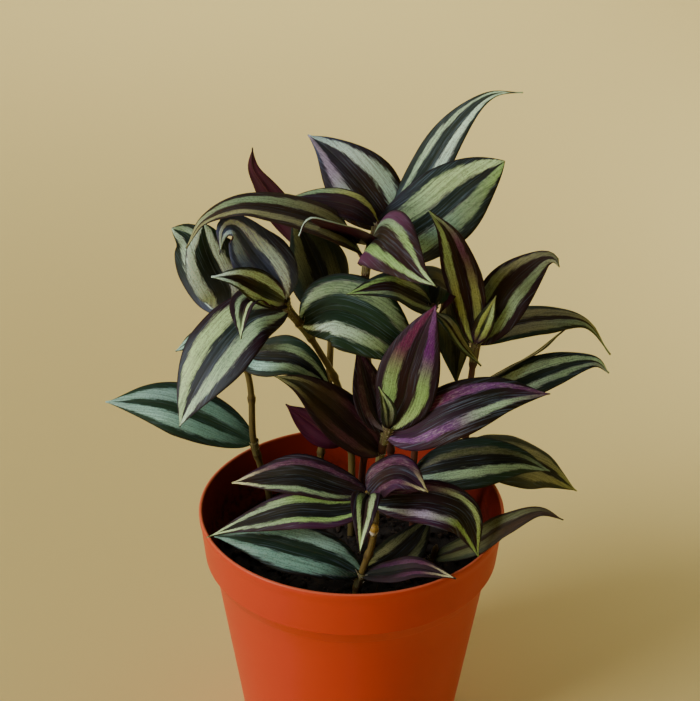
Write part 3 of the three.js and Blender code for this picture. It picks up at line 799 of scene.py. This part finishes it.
def bladeInto(bm, layers, leaf, foot, number):
    tint = tints[leaf["tint"]]
    route = Route([foot, *leaf["points"]])
    face = Vector(leaf["face"]).normalized()
    cup = radians(blade["cup"])
    made = bmesh.ops.create_grid(bm, x_segments=blade["columns"], size=0.5,
                                 y_segments=ceil(route.length / blade["rowStep"]))
    for vert in made["verts"]:
        q = 2 * vert.co.x  # from -1 at the left margin to 1 at the right one
        t = vert.co.y + 0.5  # from 0 at the foot to 1 at the tip
        along = route.along(t)
        side = along.cross(face).normalized()
        least = blade["footHalf"] * (1 - t) + blade["tipHalf"] * t
        half = max(least, leaf["width"] / 2 * outline(t, leaf["widest"], leaf["point"]))
        fold = radians(leaf["fold"]) * (1.15 - 0.3 * sin(pi * t))
        lean = fold - cup * abs(q)
        reach = (-1 if q < 0 else 1) * half * (sin(fold) - sin(lean)) / cup
        rise = half * (cos(lean) - cos(fold)) / cup
        across = q * half
        down = t * route.length
        wave = noise.noise(Vector((across / blade["waveAcross"], down / blade["waveDown"],
                                   number * 3.7)))
        rise += wave * blade["wave"] * (0.3 + q * q) * smooth(0, 0.15, t)
        vert.co = (route.at(t) + side * reach + side.cross(along) * rise) * mm
        inner, outer = tint["bands"][2:] if q > 0 else tint["bands"][:2]
        inner *= 1 - 0.5 * smooth(0.75, 1, t)
        outer += (1 - outer) * 0.5 * smooth(0.8, 1, t) - 0.06 * (1 - smooth(0, 0.25, t))
        vert[layers["span"]] = (across, down, number * 5.3)
        vert[layers["bands"]] = (inner, outer, tint["glitter"])
        vert[layers["share"]] = (q, t, number)
        vert[layers["stripe"]] = alongStops(tint["right"] if q > 0 else tint["left"], t)
        vert[layers["centre"]] = alongStops(tint["centre"], t)
        vert[layers["margin"]] = alongStops(tint["margin"], t)
        vert[layers["thick"]][0] = 1 - q * q


upper = {
    # noises over the blade's millimetres: stretch across, down and through, detail, roughness
    "broad": ((0.3, 0.06, 1), 2, 0.5), "ragged": ((1.5, 0.17, 1), 4, 0.68),
    "strands": ((2, 0.06, 1), 3, 0.65), "cells": ((2.4, 0.5, 1), 3, 0.6),
    "grain": ((2.6, 1.4, 1), 2, 0.6),
    "sway": 0.14, "fray": 0.34,  # how far the broad and ragged noises move a stripe's edge
    # each effect: where it begins, where it is full, and how strong it is there
    "inner": (-0.05, 0.06), "outer": (-0.06, 0.06), "change": (-0.1, 0.1),
    "streaks": (0.36, 0.58, 0.85), "dapple": (0.5, 0.66, 0.45), "glints": (0.46, 0.72),
    "shimmer": (0.5, 0.75), "shadows": (0.45, 0.3, 0.4), "fringe": (0.4, 0.6, 2),
    "rim": (0.9, 0.97, 0.5), "midline": (0.015, 0.05),
    "bright": (226, 232, 220), "shadow": (8, 8, 8), "specular": 0.24,
}


def bladeUpper():
    finish = Finish("bladeUpper")
    span = finish.attribute("span", "Vector")
    away = abs(finish.split(finish.attribute("share", "Vector")))
    inner = finish.split(finish.attribute("bands", "Vector"))
    outer = inner.other("Y")
    glitter = inner.other("Z")
    silver = finish.attribute("stripe", "Color")
    centre = finish.attribute("centre", "Color")
    margin = finish.attribute("margin", "Color")
    broad, ragged, strands, cells, grain = (
        finish.stretched(span, *upper[name])
        for name in ("broad", "ragged", "strands", "cells", "grain"))
    edge = away + (broad - 0.5) * upper["sway"] + (ragged - 0.5) * upper["fray"]
    stripe = (edge - inner).rise(*upper["inner"]) * (1 - (edge - outer).rise(*upper["outer"]))
    dull = finish.mix(0.55, silver, centre)
    band = finish.mix(strands.rise(*upper["streaks"]) + 0.15, dull, silver)
    band = finish.mix(grain.rise(*upper["dapple"]), band, centre)
    # painted glints: bright cells fleck the stripes, more on a tint with more glitter
    band = finish.mix(cells.rise(*upper["glints"]) * (glitter * 0.75 + 0.05), band,
                      finish.mix(0.35, silver, upper["bright"]))
    dark = finish.mix((edge - (inner + outer) * 0.5).rise(*upper["change"]), centre, margin)
    # painted sheen: a blue shimmer along the strands of the dark bands
    dark = finish.mix(strands.rise(*upper["shimmer"]) * (glitter * 0.3 + 0.06), dark,
                      colours["iceBlue"])
    dark = finish.mix(ragged.rise(*upper["shadows"]), dark, upper["shadow"])
    colour = finish.mix(stripe, dark, band)
    fringe = stripe * (1 - stripe) * broad.rise(*upper["fringe"]) * glitter
    colour = finish.mix(fringe, colour, colours["lilac"])
    colour = finish.mix(away.rise(*upper["rim"]), colour, colours["maroon"])
    midline = 1 - away.rise(*upper["midline"])
    colour = finish.mix(midline * 0.3, colour, colours["moss"])
    veins = (away * blade["veins"]).maths("SINE") * 0.3
    height = veins + strands * 0.5 + cells * 0.35 - midline * 1.2
    return finish.done(Base_Color=colour, Roughness=0.58 - stripe * 0.2 + cells * 0.1,
                       Normal=finish.bump(height, blade["bump"], 0.7),
                       Specular_IOR_Level=upper["specular"])


under = {
    "strands": ((3, 0.1, 1), 3, 0.6), "dark": (40, 7, 28), "light": (74, 15, 52),
    "pale": (84, 46, 70), "midrib": (80, 44, 50), "specular": 0.35,
}


def bladeUnder():
    finish = Finish("bladeUnder")
    away = abs(finish.split(finish.attribute("share", "Vector")))
    strands = finish.stretched(finish.attribute("span", "Vector"), *under["strands"])
    pale = away.rise(0.2, 0.34) * (1 - away.rise(0.55, 0.75))
    midrib = 1 - away.rise(0.02, 0.08)
    colour = finish.mix(strands.rise(0.35, 0.7), under["dark"], under["light"])
    colour = finish.mix(pale * 0.3, colour, under["pale"])
    colour = finish.mix(midrib * 0.5, colour, under["midrib"])
    height = (away * blade["veins"]).maths("SINE") * 0.3 + midrib * 1.5 + strands * 0.4
    return finish.done(Base_Color=colour, Roughness=strands * 0.15 + 0.42,
                       Normal=finish.bump(height, blade["bump"], 0.7),
                       Specular_IOR_Level=under["specular"])


def makeBlades(node, shoot, route, materials):
    bm = bmesh.new()
    verts = bm.verts.layers
    layers = {name: verts.float_vector.new(name) for name in ("span", "share", "bands")}
    for name in ("stripe", "centre", "margin"):
        layers[name] = verts.float_color.new(name)
    layers["thick"] = verts.deform.verify()
    for number, leaf in enumerate(shoot["leaves"]):
        foot = route.at(route.shareAtHeight(leaf["at"]))
        bladeInto(bm, layers, leaf, foot, number + 10 * len(node))
    smoothed(bm)
    piece = partPiece(node.replace("shoot", "blades"), bm, materials, [node])
    piece.vertex_groups.new(name="thick")
    shell = piece.modifiers.new("thickness", "SOLIDIFY")
    shell.thickness = blade["thickness"] * mm
    shell.offset = 0
    shell.vertex_group = "thick"
    shell.thickness_vertex_group = blade["marginShare"]
    shell.material_offset = 1


# Stems, with a ring and a sheath at every leaf, and hairs at the sheath's mouth
stalk = {
    "radius": 1.6, "taper": 0.28, "end": 0.35, "depth": 24, "sides": 14, "step": 1.6,
    "swell": 0.45, "swellReach": 1.92, "ringReach": 1.1, "sheath": 7.5, "sheathGap": 0.12,
    "mouth": 0.6, "mouthRise": 0.8,
    "spare": 0.06,  # so that sheaths at one height don't meet
    # sections: (share of the length, radius), which for a sheath is counted from its inside
    "sheathLevels": [(0, 0), (0.15, 0.15), (0.5, 0.2), (0.85, 0.35), (1, 0.6), (1.02, 0.48),
                     (1, 0.3), (0.8, 0.1), (0.6, 0)],
    "stubLevels": [(0, 1.2), (0.3, 1.3), (0.5, 1.75), (0.75, 1.8), (0.93, 1.4), (1, 0.5)],
    "tan": (98, 88, 50), "red": (88, 50, 42), "ochre": (108, 92, 46), "ring": (52, 30, 22),
    "streak": (58, 44, 26), "spot": (70, 28, 34), "stub": (158, 128, 54),
    "sheathPale": (112, 112, 72), "sheathVein": (74, 36, 44),
    "streaks": ((1.6, 1.6, 0.12), 3, 0.6), "spots": ((3, 3, 2.2), 2),
    "veins": ((1.8, 1.8, 0.06), 3, 0.6),
}

hairs = {
    "each": 16, "drops": (0, 0, 0, 0.3, 1.5, 3.5), "lengths": (1.0, 2.4), "lean": (0.4, 1.1),
    "foot": 0.07, "tip": 0.015, "gap": 0.1, "middle": 0.42,
    "dull": (206, 196, 170), "bright": (232, 226, 210),
}


def stalkSkin():
    finish = Finish("stalkSkin")
    span = finish.attribute("span", "Vector")
    streak = finish.stretched(span, *stalk["streaks"])
    spots = finish.stretched(span, *stalk["spots"])
    colour = finish.mix(streak.rise(0.35, 0.7, 0.45), finish.attribute("skin", "Color"),
                        stalk["streak"])
    colour = finish.mix(spots.rise(0.6, 0.72, 0.35), colour, stalk["spot"])
    colour = finish.mix(finish.attribute("ring", "Fac") * 0.75, colour, stalk["ring"])
    return finish.done(Base_Color=colour, Roughness=streak * 0.15 + 0.4,
                       Normal=finish.bump(streak + spots * 0.4, 0.2 * mm, 0.7))


def sheathSkin():
    finish = Finish("sheathSkin")
    vein = finish.stretched(finish.attribute("span", "Vector"), *stalk["veins"])
    colour = finish.mix(vein.rise(0.42, 0.62, 0.8), stalk["sheathPale"], stalk["sheathVein"])
    return finish.done(Base_Color=colour, Roughness=vein * 0.2 + 0.42,
                       Normal=finish.bump(vein, 0.3 * mm, 0.8))


def hairSkin():
    finish = Finish("hair")
    tone = finish.noise(finish.objectPlace(), 400, 1)
    colour = finish.mix(tone, hairs["dull"], hairs["bright"])
    return finish.done(Base_Color=colour, Roughness=0.5)


def stemRoute(shoot):
    x, y = shoot["stem"][0]
    top = soil["height"]
    return Route([(x, y, top - stalk["depth"]), (x, y, top), *shoot["stem"][1:]])


def girth(share):  # a stem's radius, at a share of its length
    return stalk["radius"] * (1 - stalk["taper"] * share)


def closeEnds(bm):
    ends = [edge for edge in bm.edges if edge.is_boundary]
    bmesh.ops.holes_fill(bm, edges=ends, sides=0)


def makeStem(node, shoot, route, materials):
    bm = bmesh.new()
    span = bm.verts.layers.float_vector.new("span")
    ringed = bm.verts.layers.float.new("ring")
    skin = bm.verts.layers.float_color.new("skin")
    rings = [leaf["at"] - stalk["sheath"] for leaf in shoot["leaves"]] + shoot["bareRings"]
    steps = ceil(route.length / stalk["step"])
    stations = []
    for step in range(steps + 1):
        share = step / steps
        near = min(abs(route.at(share).z - height) for height in rings)
        swell = stalk["swell"] * sin(pi / 2 * smooth(stalk["swellReach"], 0, near))
        end = stalk["end"] if step == steps else 1
        stations.append(stationAt(route, share, (girth(share) + swell) * end))
    wrapped(bm, stations, stalk["sides"], span)
    closeEnds(bm)
    for vert in bm.verts:
        near = min(abs(vert.co.z / mm - height) for height in rings)
        vert[ringed] = smooth(stalk["ringReach"], 0, near)
        vert[skin] = screen(stalk[shoot["skin"]])
    if shoot["stub"]:
        stubInto(bm, span, skin, shoot["stub"])
    for number, leaf in enumerate(shoot["leaves"]):
        sheathInto(bm, span, route, leaf["at"], stalk["spare"] * number)
    smoothed(bm)
    partPiece(node.replace("shoot", "stem"), bm, materials, [node])


def stubInto(bm, span, skin, points):  # what is left of a side shoot that came off
    before = len(bm.verts)
    stub = Route(points)
    wrapped(bm, [stationAt(stub, *level) for level in stalk["stubLevels"]], stalk["sides"], span)
    closeEnds(bm)
    bm.verts.ensure_lookup_table()
    for vert in bm.verts[before:]:
        vert[skin] = screen(stalk["stub"])


def sheathInto(bm, span, route, height, spare):
    before = len(bm.faces)
    inner = girth(route.shareAtHeight(height)) + stalk["sheathGap"] + spare
    foot = height - stalk["sheath"]
    length = stalk["sheath"] + stalk["mouthRise"]
    stations = [stationAt(route, route.shareAtHeight(foot + length * level), inner + out)
                for level, out in stalk["sheathLevels"]]
    wrapped(bm, stations, stalk["sides"] + 4, span)
    bm.faces.ensure_lookup_table()
    for face in bm.faces[before:]:
        face.material_index = 1


def makeHairs(node, shoot, route, materials):
    bm = bmesh.new()
    for leaf in shoot["leaves"]:
        for hair in range(hairs["each"]):
            height = leaf["at"] + stalk["mouthRise"] - chance.choice(hairs["drops"])
            share = route.shareAtHeight(height)
            along = route.along(share)
            out = Matrix.Rotation(chance.uniform(0, 2 * pi), 3, along) @ sideways(along)
            length = chance.uniform(*hairs["lengths"])
            point = (out * chance.uniform(*hairs["lean"]) + along).normalized()
            root = route.at(share) + out * (girth(share) + stalk["mouth"] + hairs["gap"])
            place = Matrix.Translation((root + point * length * hairs["middle"]) * mm)
            bmesh.ops.create_cone(bm, cap_ends=True, segments=4, radius1=hairs["foot"] * mm,
                                  radius2=hairs["tip"] * mm, depth=length * mm,
                                  matrix=place @ point.to_track_quat("Z", "Y").to_matrix().to_4x4())
    partPiece(node.replace("shoot", "hairs"), bm, materials)


def makePlant():
    bladeSkins = [bladeUpper(), bladeUnder()]
    stemSkins = [stalkSkin(), sheathSkin()]
    hairSkins = [hairSkin()]
    for node, shoot in shoots.items():
        route = stemRoute(shoot)
        makeBlades(node, shoot, route, bladeSkins)
        makeStem(node, shoot, route, stemSkins)
        makeHairs(node, shoot, route, hairSkins)
        print(node, "dressed:", len(shoot["leaves"]), "leaves")


makePlant()
